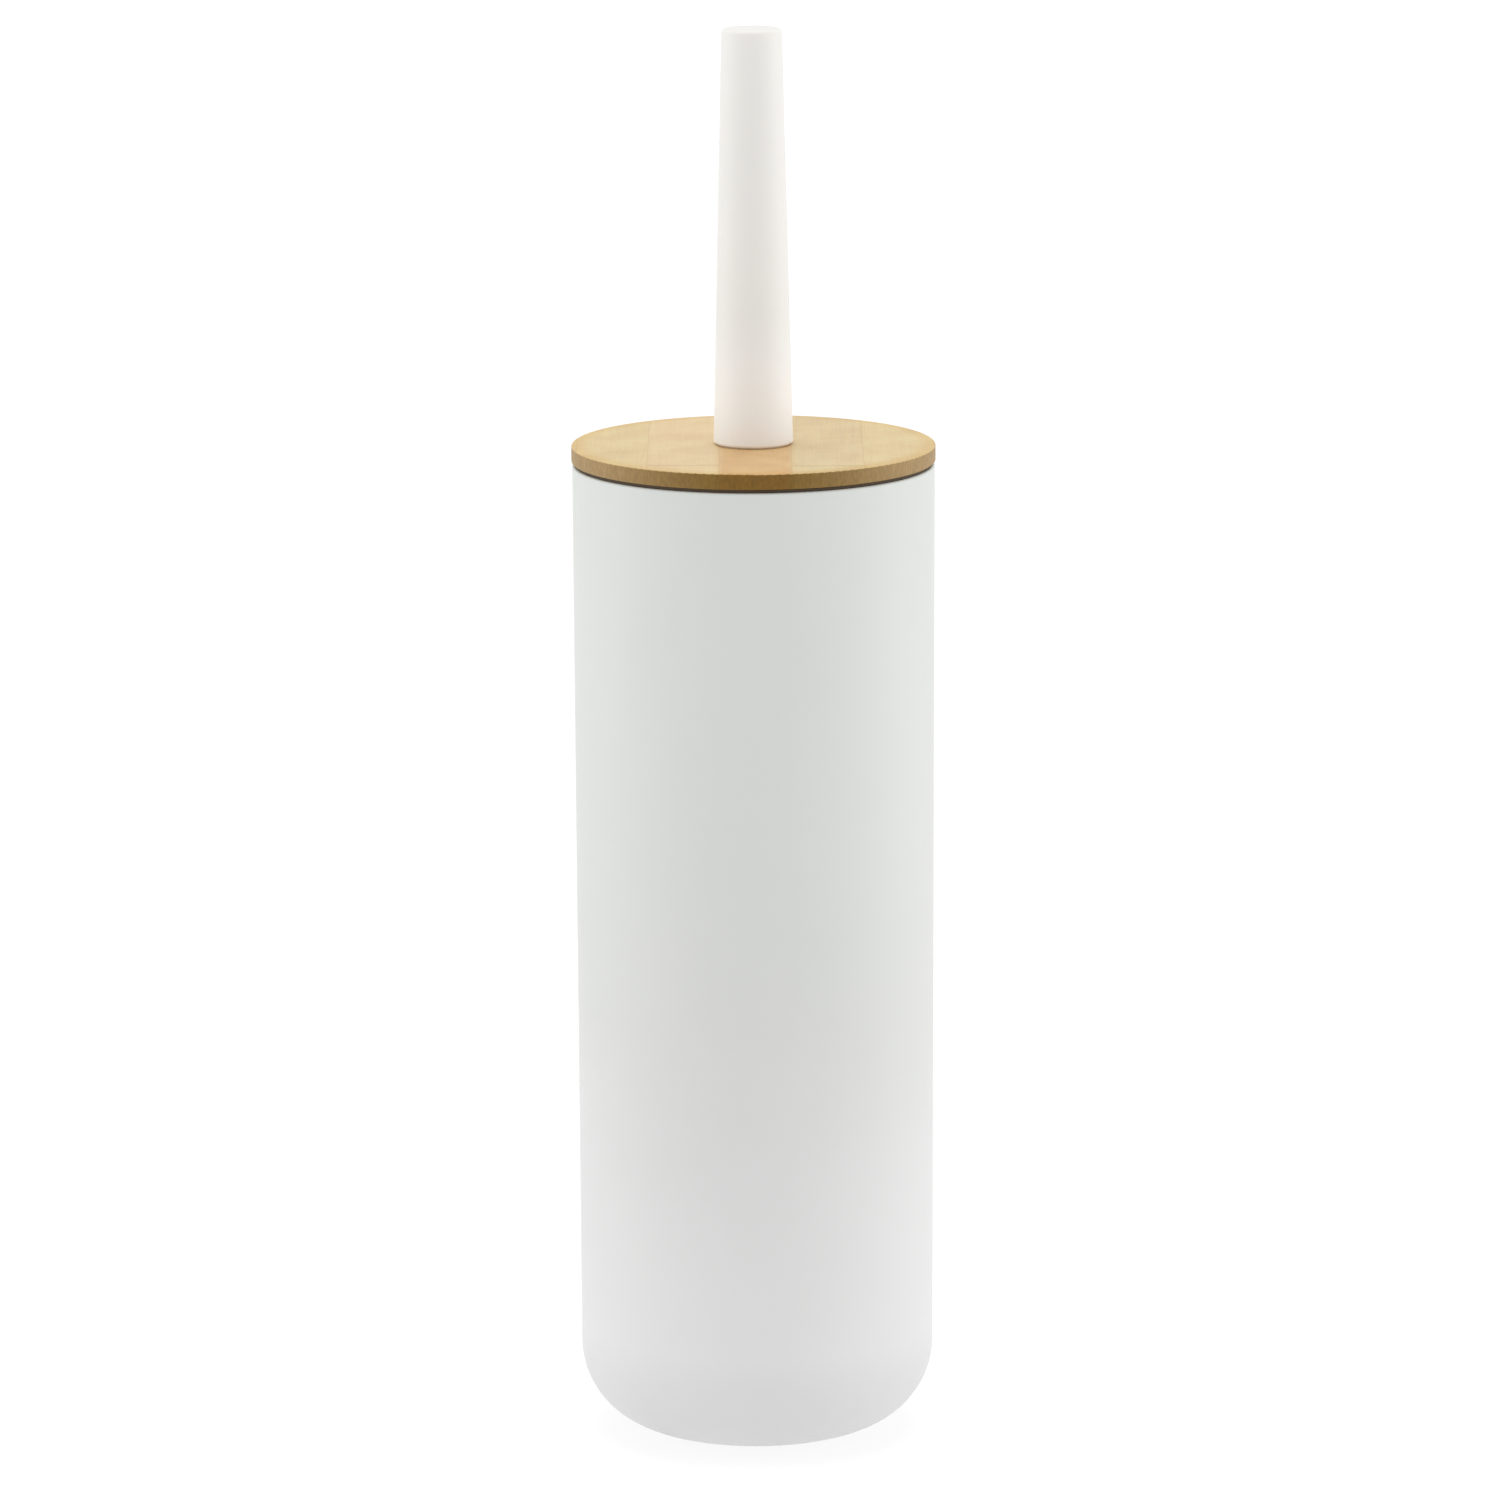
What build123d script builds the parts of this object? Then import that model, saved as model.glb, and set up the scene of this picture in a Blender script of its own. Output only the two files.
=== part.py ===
# Toilet brush in a closed holder.
# A slim drafted cup with a large bottom round stands on four soft pads.  The brush hangs from its lid:
# tapered handle, bamboo disc, centring collar, stem and a screw-on bristle head, all on one vertical axis.
# Millimetres, +Z up.  The origin is on the axis, in the plane that the foot pads stand on.
# Dimensions ending in _z are heights above that plane, those ending in _radius are measured from the axis
# of the piece they belong to.

import os
from math import asin, cos, floor, pi, radians, sin, sqrt, tan

from build123d import *

os.makedirs("parts", exist_ok=True)


# ---- driving dimensions ---------------------------------------------------------------------------

# cup
cup_height = 272.6            # rim above the foot plane
cup_rim_radius = 49.8
cup_draft_angle = 0.15        # the moulding narrows by this many degrees towards the bottom
cup_wall = 2.0
cup_floor = 2.4
bottom_round = 23.4
rim_round = 0.6
base_recess_land = 3.0        # flat left between the pads' pockets and the shallow recess
base_recess_depth = 0.7

# foot pads
pad_count = 4
pad_radius = 5.0
pad_thickness = 1.8
pad_proud = 0.8               # how far a pad stands out of the cup's underside
pad_edge_inset = 1.6          # between a pad's pocket and the start of the bottom round
pad_gap = 0.1                 # all round a pad in its pocket
pad_edge_round = 0.3

# lid
lid_overhang = 0.2            # beyond the rim
lid_thickness = 4.5
lid_top_round = 0.5
lid_bottom_round = 0.3
peg_radius = 1.6
peg_height = 1.8
peg_circle_radius = 22.0
peg_gap = 0.1
peg_depth_gap = 0.4

# soft ring between the rim and the lid
seal_thickness = 1.0
seal_inset = 0.6              # from the rim's outer edge
seal_gap = 0.3                # between the ring and the collar
seal_edge_round = 0.25

# centring collar under the lid
collar_clearance = 0.9        # between its skirt and the cup's inside
collar_skirt = 12.0
collar_wall = 1.6
collar_web = 2.0
collar_rib_count = 8
collar_rib_thickness = 1.4
collar_rib_height = 5.0
collar_edge_round = 0.5

# handle
handle_length = 113.9
handle_base_radius = 10.9
handle_top_radius = 8.25
handle_wall = 2.2
handle_top_thickness = 3.0
handle_top_round = 1.0
handle_base_round = 0.8
boss_wall = 2.0
boss_extra = 8.0              # boss above the end of the insert
boss_rib_count = 4
boss_rib_thickness = 1.5
boss_rib_inset = 1.0          # ribs stop short of the handle's base
handle_washer_thickness = 0.3
handle_washer_inset = 0.2     # inside the flat of the handle's base

# clamping stud and its insert
stud_radius = 3.0
stud_chamfer = 0.6
stud_hole_gap = 0.4           # round the stud where it only passes through
fit_gap = 0.05                # round a piece that is pressed or screwed home
insert_wall = 1.1
insert_length = 12.0
insert_inset = 1.0            # above the handle's base
insert_groove_depth = 0.35
insert_groove_width = 1.6
stud_end_gap = 1.0
stud_in_plug = 14.0

# stem
stem_radius = 6.5
stem_wall = 1.6
plug_length = 17.0            # of each end plug inside the tube
plug_end_chamfer = 0.6
clamp_flange_radius = 14.0
clamp_flange_thickness = 2.4
flange_edge_round = 0.6
shoulder_radius = 8.2
shoulder_thickness = 3.0

# screw joint between stem and head
thread_radius = 4.6           # crest radius of the spigot's thread
thread_pitch = 2.5
thread_turns = 4
thread_gap = 0.25
spigot_nose = 1.0
socket_end_gap = 2.0
head_washer_thickness = 1.0
head_washer_gap = 0.3

# head
core_radius = 13.0
core_shoulder = 5.5           # core above the top row of tufts
neck_radius = 9.4
neck_blend = 4.0              # height of the cone between core and neck
neck_height = 11.0
neck_edge_round = 0.8
grip_rib_count = 8
grip_rib_radius = 0.9
grip_rib_inset = 1.6          # from either end of the straight neck
brush_side_gap = 8.6          # between the bristle tips and the cup's inside
drip_gap = 4.0                # under the bristles when the head is unscrewed inside the cup
crown_height = 26.0           # from the bristles' lowest point up to the lowest level row

# tufts
row_count = 10
tuft_root_radius = 1.6
tuft_tip_radius = 3.1
crown_tip_radius = 4.8
tuft_spacing = 0.8            # between the tips of one row and the next
tuft_hole_gap = 0.05
tuft_hole_depth = 3.2
tuft_hole_wall = 0.5          # left between the floors of neighbouring holes
tuft_tip_gap = 0.1            # left between neighbouring tips in a row
crown_angles = (22.5, 45.0, 67.5)    # below the horizontal
anchor_width = 2.5
anchor_thickness = 0.4
anchor_length = 1.6
anchor_gap = 0.1


# ---- what follows from them -----------------------------------------------------------------------

draft = tan(radians(cup_draft_angle))


def cup_outer_radius(z):
    """Radius of the cup's drafted outside at height z."""
    return cup_rim_radius - (cup_height - z) * draft


def cup_inner_radius(z):
    """Radius of the cup's drafted inside at height z."""
    return cup_outer_radius(z) - cup_wall


floor_top_z = pad_proud + cup_floor
inner_round = bottom_round - cup_wall
lid_radius = cup_rim_radius + lid_overhang
lid_bottom_z = cup_height + seal_thickness
lid_top_z = lid_bottom_z + lid_thickness

pad_circle_radius = cup_outer_radius(pad_proud) - bottom_round - pad_edge_inset - pad_gap - pad_radius
pad_pocket_depth = pad_thickness - pad_proud
base_recess_radius = pad_circle_radius - pad_radius - pad_gap - base_recess_land

collar_web_z = lid_bottom_z - collar_web
collar_bottom_z = lid_bottom_z - collar_skirt
collar_radius = cup_inner_radius(collar_bottom_z) - collar_clearance
collar_inner_radius = collar_radius - collar_wall
collar_hub_radius = clamp_flange_radius + seal_thickness

seal_inner_radius = collar_radius + seal_gap
seal_outer_radius = cup_rim_radius - seal_inset

handle_base_z = lid_top_z + handle_washer_thickness
handle_top_z = handle_base_z + handle_length
handle_washer_radius = handle_base_radius - handle_base_round - handle_washer_inset

insert_radius = stud_radius + fit_gap + insert_wall
insert_z = handle_base_z + insert_inset
insert_top_z = insert_z + insert_length
boss_radius = insert_radius + fit_gap + boss_wall
boss_top_z = insert_top_z + boss_extra
stud_top_z = insert_top_z - stud_end_gap
stud_hole_radius = stud_radius + stud_hole_gap

clamp_flange_z = collar_web_z - clamp_flange_thickness
stud_bottom_z = clamp_flange_z - stud_in_plug
tube_inner_radius = stem_radius - stem_wall
plug_radius = tube_inner_radius - fit_gap

thread_length = thread_pitch * thread_turns
bristle_radius = cup_inner_radius(floor_top_z) - brush_side_gap
bristle_bottom_z = floor_top_z + drip_gap + thread_length
crown_z = bristle_bottom_z + crown_height
row_pitch = 2 * tuft_tip_radius + tuft_spacing
top_row_z = crown_z + (row_count - 1) * row_pitch
core_top_z = top_row_z + core_shoulder
neck_z = core_top_z + neck_blend
mouth_z = neck_z + neck_height
shoulder_z = mouth_z + head_washer_thickness
tube_bottom_z = shoulder_z + shoulder_thickness
spigot_bottom_z = shoulder_z - thread_length - spigot_nose
socket_radius = thread_radius + thread_gap
socket_floor_z = spigot_bottom_z - socket_end_gap

tuft_hole_radius = tuft_root_radius + tuft_hole_gap
tuft_floor_radius = core_radius - tuft_hole_depth
tuft_start_radius = tuft_floor_radius + anchor_length + anchor_gap


def tip_distance(slope):
    """From the crown's centre to the tips: the bristles' lower end is half an ellipsoid."""
    across = cos(radians(slope)) / bristle_radius
    down = sin(radians(slope)) / crown_height
    return 1 / sqrt(across**2 + down**2)


def tufts_round(slope, tip_radius):
    """How many tufts fit round the core at this slope, both in their holes and at their tips."""
    floor_girth = 2 * pi * tuft_floor_radius * cos(radians(slope))
    fit_in_holes = floor_girth / (2 * tuft_hole_radius + tuft_hole_wall)
    tip_circle_radius = tip_distance(slope) * cos(radians(slope))
    fit_at_tips = pi / asin((tip_radius + tuft_tip_gap / 2) / tip_circle_radius)
    return max(1, floor(min(fit_in_holes, fit_at_tips)))


def tuft_planes(height, slope, count, first_angle):
    """One plane for each tuft of a row: its origin is on the axis and its normal runs along the tuft."""
    planes = []
    for index in range(count):
        turn = radians(first_angle + index * 360 / count)
        outward = (cos(turn) * cos(radians(slope)), sin(turn) * cos(radians(slope)), -sin(radians(slope)))
        planes.append(Plane(origin=(0, 0, height), x_dir=(-sin(turn), cos(turn), 0), z_dir=outward))
    return planes


outward_from_plane = (Align.CENTER, Align.CENTER, Align.MIN)

row_tufts = tufts_round(0, tuft_tip_radius)
row_planes = []
for row in range(row_count):
    stagger = (row % 2) * 180 / row_tufts
    row_planes.append(tuft_planes(crown_z + row * row_pitch, 0, row_tufts, stagger))

crown_planes = []
for slope in crown_angles:
    crown_tufts = tufts_round(slope, crown_tip_radius)
    crown_planes.append(tuft_planes(crown_z, slope, crown_tufts, 180 / crown_tufts))

end_plane = Plane(origin=(0, 0, crown_z), x_dir=(1, 0, 0), z_dir=(0, 0, -1))
all_tuft_planes = sum(row_planes + crown_planes, []) + [end_plane]


# ---- holder ---------------------------------------------------------------------------------------

with BuildPart() as outer_cup:
    with BuildSketch(Plane.XZ) as cup_profile:
        with BuildLine():
            Polyline(
                (0, pad_proud),
                (cup_outer_radius(pad_proud), pad_proud),
                (cup_rim_radius, cup_height),
                (cup_rim_radius - cup_wall, cup_height),
                (cup_inner_radius(floor_top_z), floor_top_z),
                (0, floor_top_z),
                close=True,
            )
        make_face()
        outside_corner = cup_profile.vertices().group_by(Axis.Y)[0].sort_by(Axis.X)[-1]
        fillet(outside_corner, bottom_round)
        floor_edge = (cup_inner_radius(floor_top_z), floor_top_z)
        inside_corner = cup_profile.vertices().sort_by_distance(floor_edge)[0]
        fillet(inside_corner, inner_round)
        fillet(cup_profile.vertices().group_by(Axis.Y)[-1], rim_round)
    revolve(axis=Axis.Z)
    with BuildSketch(Plane.XY.offset(pad_proud)):
        Circle(base_recess_radius)
    extrude(amount=base_recess_depth, mode=Mode.SUBTRACT)
    with BuildSketch(Plane.XY.offset(pad_proud)):
        with PolarLocations(pad_circle_radius, pad_count, start_angle=180 / pad_count):
            Circle(pad_radius + pad_gap)
    extrude(amount=pad_pocket_depth, mode=Mode.SUBTRACT)
outer_cup.part.label = "outer_cup"
export_step(outer_cup.part, "parts/outer_cup.step")

for pad in range(pad_count):
    with BuildPart() as foot_pad:
        with BuildSketch():
            with PolarLocations(pad_circle_radius, 1, start_angle=(pad + 0.5) * 360 / pad_count):
                Circle(pad_radius)
        extrude(amount=pad_thickness)
        fillet(foot_pad.edges().group_by(Axis.Z)[0], pad_edge_round)
    foot_pad.part.label = f"foot_pad_{pad + 1}"
    export_step(foot_pad.part, f"parts/foot_pad_{pad + 1}.step")


# ---- soft ring ------------------------------------------------------------------------------------

with BuildPart() as lid_seal_ring:
    with BuildSketch(Plane.XY.offset(cup_height)):
        Circle(seal_outer_radius)
        Circle(seal_inner_radius, mode=Mode.SUBTRACT)
    extrude(amount=seal_thickness)
    fillet(lid_seal_ring.edges().filter_by(GeomType.CIRCLE), seal_edge_round)
lid_seal_ring.part.label = "lid_seal_ring"
export_step(lid_seal_ring.part, "parts/lid_seal_ring.step")


# ---- lid ------------------------------------------------------------------------------------------

with BuildPart() as bamboo_lid:
    with BuildSketch(Plane.XY.offset(lid_bottom_z)):
        Circle(lid_radius)
    extrude(amount=lid_thickness)
    fillet(bamboo_lid.edges().group_by(Axis.Z)[-1], lid_top_round)
    fillet(bamboo_lid.edges().group_by(Axis.Z)[0], lid_bottom_round)
    with BuildSketch(Plane.XY.offset(lid_bottom_z)):
        Circle(stud_hole_radius)
    extrude(amount=lid_thickness, mode=Mode.SUBTRACT)
    with BuildSketch(Plane.XY.offset(lid_bottom_z)):
        with PolarLocations(peg_circle_radius, 2):
            Circle(peg_radius + peg_gap)
    extrude(amount=peg_height + peg_depth_gap, mode=Mode.SUBTRACT)
bamboo_lid.part.label = "bamboo_lid"
export_step(bamboo_lid.part, "parts/bamboo_lid.step")

with BuildPart() as lid_collar:
    with BuildSketch(Plane.XY.offset(collar_bottom_z)):
        Circle(collar_radius)
    extrude(amount=collar_skirt)
    fillet(lid_collar.edges().group_by(Axis.Z)[0], collar_edge_round)
    with BuildSketch(Plane.XY.offset(collar_bottom_z)):
        Circle(collar_inner_radius)
    extrude(amount=collar_skirt - collar_web, mode=Mode.SUBTRACT)
    with BuildSketch(Plane.XY.offset(collar_web_z)):
        with PolarLocations(0, collar_rib_count):
            with Locations(((collar_hub_radius + collar_inner_radius) / 2, 0)):
                Rectangle(collar_inner_radius - collar_hub_radius + collar_wall, collar_rib_thickness)
        Circle(collar_hub_radius + collar_rib_thickness)
        Circle(collar_hub_radius, mode=Mode.SUBTRACT)
    extrude(amount=-collar_rib_height)
    with BuildSketch(Plane.XY.offset(lid_bottom_z)):
        with PolarLocations(peg_circle_radius, 2):
            Circle(peg_radius)
    extrude(amount=peg_height)
    with BuildSketch(Plane.XY.offset(collar_web_z)):
        Circle(stud_hole_radius)
    extrude(amount=collar_web, mode=Mode.SUBTRACT)
lid_collar.part.label = "lid_collar"
export_step(lid_collar.part, "parts/lid_collar.step")


# ---- handle ---------------------------------------------------------------------------------------

with BuildPart() as handle_shell:
    with BuildSketch(Plane.XZ) as handle_outline:
        with BuildLine():
            Polyline(
                (0, handle_base_z),
                (handle_base_radius, handle_base_z),
                (handle_top_radius, handle_top_z),
                (0, handle_top_z),
                close=True,
            )
        make_face()
        outer_corners = handle_outline.vertices().filter_by(lambda corner: corner.X > handle_top_radius / 2)
        fillet(outer_corners.sort_by(Axis.Y)[0], handle_base_round)
        outer_corners = handle_outline.vertices().filter_by(lambda corner: corner.X > handle_top_radius / 2)
        fillet(outer_corners.sort_by(Axis.Y)[-1], handle_top_round)
    revolve(axis=Axis.Z)
    with BuildSketch(Plane.XZ):
        with BuildLine():
            Polyline(
                (0, handle_base_z),
                (handle_base_radius - handle_wall, handle_base_z),
                (handle_top_radius - handle_wall, handle_top_z - handle_top_thickness),
                (0, handle_top_z - handle_top_thickness),
                close=True,
            )
        make_face()
    revolve(axis=Axis.Z, mode=Mode.SUBTRACT)
    with BuildSketch(Plane.XY.offset(handle_base_z)):
        Circle(boss_radius)
    extrude(amount=boss_top_z - handle_base_z)
    with BuildSketch(Plane.XY.offset(handle_base_z + boss_rib_inset)):
        with PolarLocations(0, boss_rib_count):
            with Locations((handle_base_radius / 2, 0)):
                Rectangle(handle_base_radius - handle_wall, boss_rib_thickness)
    extrude(amount=boss_top_z - handle_base_z - boss_rib_inset)
    with BuildSketch(Plane.XY.offset(handle_base_z)):
        Circle(insert_radius + fit_gap)
    extrude(amount=insert_top_z - handle_base_z, mode=Mode.SUBTRACT)
    with BuildSketch(Plane.XY.offset(handle_base_z)):
        Circle(stud_radius)
    extrude(amount=boss_top_z - handle_base_z, mode=Mode.SUBTRACT)
handle_shell.part.label = "handle_shell"
export_step(handle_shell.part, "parts/handle_shell.step")

with BuildPart() as handle_insert:
    with BuildSketch(Plane.XY.offset(insert_z)):
        Circle(insert_radius)
        Circle(stud_radius + fit_gap, mode=Mode.SUBTRACT)
    extrude(amount=insert_length)
    for share in (1 / 3, 2 / 3):
        with BuildSketch(Plane.XY.offset(insert_z + insert_length * share - insert_groove_width / 2)):
            Circle(insert_radius)
            Circle(insert_radius - insert_groove_depth, mode=Mode.SUBTRACT)
        extrude(amount=insert_groove_width, mode=Mode.SUBTRACT)
handle_insert.part.label = "handle_insert"
export_step(handle_insert.part, "parts/handle_insert.step")

with BuildPart() as handle_washer:
    with BuildSketch(Plane.XY.offset(lid_top_z)):
        Circle(handle_washer_radius)
        Circle(stud_hole_radius, mode=Mode.SUBTRACT)
    extrude(amount=handle_washer_thickness)
handle_washer.part.label = "handle_washer"
export_step(handle_washer.part, "parts/handle_washer.step")

with BuildPart() as clamp_stud:
    with BuildSketch(Plane.XY.offset(stud_bottom_z)):
        Circle(stud_radius)
    extrude(amount=stud_top_z - stud_bottom_z)
    chamfer(clamp_stud.edges().filter_by(GeomType.CIRCLE), stud_chamfer)
clamp_stud.part.label = "clamp_stud"
export_step(clamp_stud.part, "parts/clamp_stud.step")


# ---- stem -----------------------------------------------------------------------------------------

with BuildPart() as stem_top_plug:
    with BuildSketch(Plane.XY.offset(clamp_flange_z)):
        Circle(clamp_flange_radius)
    extrude(amount=clamp_flange_thickness)
    fillet(stem_top_plug.edges().group_by(Axis.Z)[0], flange_edge_round)
    with BuildSketch(Plane.XY.offset(clamp_flange_z)):
        Circle(plug_radius)
    extrude(amount=-plug_length)
    chamfer(stem_top_plug.edges().group_by(Axis.Z)[0], plug_end_chamfer)
    with BuildSketch(Plane.XY.offset(collar_web_z)):
        Circle(stud_radius)
    extrude(amount=stud_bottom_z - collar_web_z, mode=Mode.SUBTRACT)
stem_top_plug.part.label = "stem_top_plug"
export_step(stem_top_plug.part, "parts/stem_top_plug.step")

with BuildPart() as stem_tube:
    with BuildSketch(Plane.XY.offset(tube_bottom_z)):
        Circle(stem_radius)
        Circle(tube_inner_radius, mode=Mode.SUBTRACT)
    extrude(amount=clamp_flange_z - tube_bottom_z)
stem_tube.part.label = "stem_tube"
export_step(stem_tube.part, "parts/stem_tube.step")

with BuildPart() as stem_end_plug:
    with BuildSketch(Plane.XY.offset(shoulder_z)):
        Circle(shoulder_radius)
    extrude(amount=shoulder_thickness)
    fillet(stem_end_plug.edges().group_by(Axis.Z)[-1], flange_edge_round)
    with BuildSketch(Plane.XY.offset(tube_bottom_z)):
        Circle(plug_radius)
    extrude(amount=plug_length)
    chamfer(stem_end_plug.edges().group_by(Axis.Z)[-1], plug_end_chamfer)
    with BuildSketch(Plane.XY.offset(shoulder_z)):
        Circle(thread_radius)
    extrude(amount=spigot_bottom_z - shoulder_z)
    chamfer(stem_end_plug.edges().group_by(Axis.Z)[0], spigot_nose)
stem_end_plug.part.label = "stem_end_plug"
export_step(stem_end_plug.part, "parts/stem_end_plug.step")


# ---- head -----------------------------------------------------------------------------------------

with BuildPart() as head_washer:
    with BuildSketch(Plane.XY.offset(mouth_z)):
        Circle(shoulder_radius)
        Circle(thread_radius + head_washer_gap, mode=Mode.SUBTRACT)
    extrude(amount=head_washer_thickness)
head_washer.part.label = "head_washer"
export_step(head_washer.part, "parts/head_washer.step")

with BuildPart() as head_core:
    with BuildSketch(Plane.XZ) as core_profile:
        with BuildLine():
            RadiusArc((0, crown_z - core_radius), (core_radius, crown_z), -core_radius)
            Polyline(
                (core_radius, crown_z),
                (core_radius, core_top_z),
                (neck_radius, neck_z),
                (neck_radius, mouth_z),
                (socket_radius, mouth_z),
                (socket_radius, socket_floor_z),
                (0, socket_floor_z),
                (0, crown_z - core_radius),
            )
        make_face()
        mouth_corner = core_profile.vertices().sort_by_distance((neck_radius, mouth_z))[0]
        fillet(mouth_corner, neck_edge_round)
    revolve(axis=Axis.Z)
    with BuildSketch(Plane.XY.offset(neck_z + grip_rib_inset)):
        with PolarLocations(neck_radius, grip_rib_count):
            Circle(grip_rib_radius)
    extrude(amount=neck_height - 2 * grip_rib_inset)
    with Locations(*[plane.offset(tuft_floor_radius) for plane in all_tuft_planes]):
        Cylinder(tuft_hole_radius, core_radius, align=outward_from_plane, mode=Mode.SUBTRACT)
head_core.part.label = "head_core"
export_step(head_core.part, "parts/head_core.step")


def add_tufts(planes, tip_radius, tip_reach):
    """Adds to the open part one tuft on each plane: a straight root in its hole and a flared bunch."""
    with Locations(*[plane.offset(tuft_start_radius) for plane in planes]):
        Cylinder(tuft_root_radius, core_radius - tuft_start_radius, align=outward_from_plane)
    with Locations(*[plane.offset(core_radius) for plane in planes]):
        Cone(tuft_root_radius, tip_radius, tip_reach - core_radius, align=outward_from_plane)


for row in range(row_count):
    with BuildPart() as bristle_row:
        add_tufts(row_planes[row], tuft_tip_radius, bristle_radius)
    bristle_row.part.label = f"bristle_row_{row + 1:02d}"
    export_step(bristle_row.part, f"parts/bristle_row_{row + 1:02d}.step")

for row, slope in enumerate(crown_angles):
    with BuildPart() as crown_row:
        add_tufts(crown_planes[row], crown_tip_radius, tip_distance(slope))
    crown_row.part.label = f"crown_row_{row + 1}"
    export_step(crown_row.part, f"parts/crown_row_{row + 1}.step")

with BuildPart() as crown_end_tuft:
    add_tufts([end_plane], crown_tip_radius, crown_height)
crown_end_tuft.part.label = "crown_end_tuft"
export_step(crown_end_tuft.part, "parts/crown_end_tuft.step")

with BuildPart() as tuft_anchors:
    with Locations(*[plane.offset(tuft_floor_radius) for plane in all_tuft_planes]):
        Box(anchor_width, anchor_thickness, anchor_length, align=outward_from_plane)
tuft_anchors.part.label = "tuft_anchors"
export_step(tuft_anchors.part, "parts/tuft_anchors.step")
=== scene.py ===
"""Fine shapes, finishes and stage for a toilet brush that hangs in its closed holder.

Metres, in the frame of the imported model: +Z is the common axis of cup, lid, handle and brush, and the
foot pads stand on z = 0.  Each operator below finishes one group of pieces.
"""

from math import cos, pi, radians, sin

import bpy
import numpy as np
from mathutils import Matrix, Vector


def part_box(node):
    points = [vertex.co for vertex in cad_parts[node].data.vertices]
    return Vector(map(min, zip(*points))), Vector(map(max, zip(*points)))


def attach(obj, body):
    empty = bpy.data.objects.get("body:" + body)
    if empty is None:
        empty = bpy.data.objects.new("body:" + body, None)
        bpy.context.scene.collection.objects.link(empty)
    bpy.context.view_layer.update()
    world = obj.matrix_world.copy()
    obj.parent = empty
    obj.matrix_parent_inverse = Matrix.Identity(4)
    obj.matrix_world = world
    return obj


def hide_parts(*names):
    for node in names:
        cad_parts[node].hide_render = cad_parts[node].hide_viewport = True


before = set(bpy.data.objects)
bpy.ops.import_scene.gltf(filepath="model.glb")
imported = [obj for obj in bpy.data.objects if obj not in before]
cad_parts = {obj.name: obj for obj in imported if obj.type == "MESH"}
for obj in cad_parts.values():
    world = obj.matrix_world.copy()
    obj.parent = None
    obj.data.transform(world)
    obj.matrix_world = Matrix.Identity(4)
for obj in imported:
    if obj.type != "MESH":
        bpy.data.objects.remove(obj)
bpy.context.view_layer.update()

bl_info = {
    "name": "Toilet brush and holder",
    "version": (1, 0, 0),
    "blender": (4, 5, 0),
    "location": "View3D > Sidebar > Brush set",
    "description": "Finishes the cup, bamboo lid, handle, stem and bristle head of a toilet brush set",
    "category": "Object",
}

MM = 0.001
WHITE = (1.0, 1.0, 1.0, 1.0)
CREASE = radians(40)              # where faces meet at more than this, the edge between them is sharp


# ---- small tools -----------------------------------------


def linear(code):
    """Turns an sRGB hex colour into the linear red, green and blue that shaders use."""
    values = [int(code[place:place + 2], 16) / 255 for place in (1, 3, 5)]
    return [v / 12.92 if v <= 0.04045 else ((v + 0.055) / 1.055) ** 2.4 for v in values]


def opaque(colour):
    """A colour property or list with its alpha, as a colour socket wants it."""
    return (*colour[:3], 1.0)


def new_material(name):
    """An empty node material with its Principled shader joined to the output."""
    material = bpy.data.materials.new(name)
    material.use_nodes = True
    tree = material.node_tree
    tree.nodes.clear()
    shader = tree.nodes.new("ShaderNodeBsdfPrincipled")
    output = tree.nodes.new("ShaderNodeOutputMaterial")
    tree.links.new(shader.outputs["BSDF"], output.inputs["Surface"])
    return material, tree, shader


def feed(tree, node, inputs):
    """Sets a node's inputs to plain values or joins them to the sockets that feed them."""
    for name, value in inputs.items():
        if isinstance(value, bpy.types.NodeSocket):
            tree.links.new(value, node.inputs[name])
        else:
            node.inputs[name].default_value = value


def add_node(tree, kind, inputs=None, stops=None, **settings):
    """Adds a node: settings are its attributes, inputs are plain values or the sockets that feed it,
    and stops are the places and colours of a ramp."""
    node = tree.nodes.new(kind)
    for name, value in settings.items():
        setattr(node, name, value)
    feed(tree, node, inputs or {})
    for index, (place, colour) in enumerate(stops or []):
        elements = node.color_ramp.elements
        element = elements[index] if index < 2 else elements.new(place)
        element.position = place
        element.color = opaque(colour)
    return node


MIX_FACTOR, MIX_A, MIX_B, MIX_RESULT = 0, 6, 7, 2     # sockets of a Mix node that mixes colours


def finish_node(name, material):
    """Gives a CAD node its material in every slot."""
    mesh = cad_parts[name].data
    for index in range(len(mesh.materials)):
        mesh.materials[index] = material
    if not mesh.materials:
        mesh.materials.append(material)


def new_piece(name, points, faces, material, body, replaced=(), crease=None):
    """Makes a smooth mesh from an array of points and lists of corners, creased where faces meet at more
    than the angle given, and rides it on its body."""
    mesh = bpy.data.meshes.new(name)
    mesh.from_pydata(points.reshape(-1, 3), [], faces)
    mesh.polygons.foreach_set("use_smooth", np.ones(len(mesh.polygons), bool))
    if crease:
        mesh.set_sharp_from_angle(angle=crease)
    mesh.materials.append(material)
    piece = bpy.data.objects.new(name, mesh)
    bpy.context.scene.collection.objects.link(piece)
    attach(piece, body)
    if replaced:
        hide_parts(*replaced)
    return piece


# ---- materials -------------------------------------------


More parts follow.
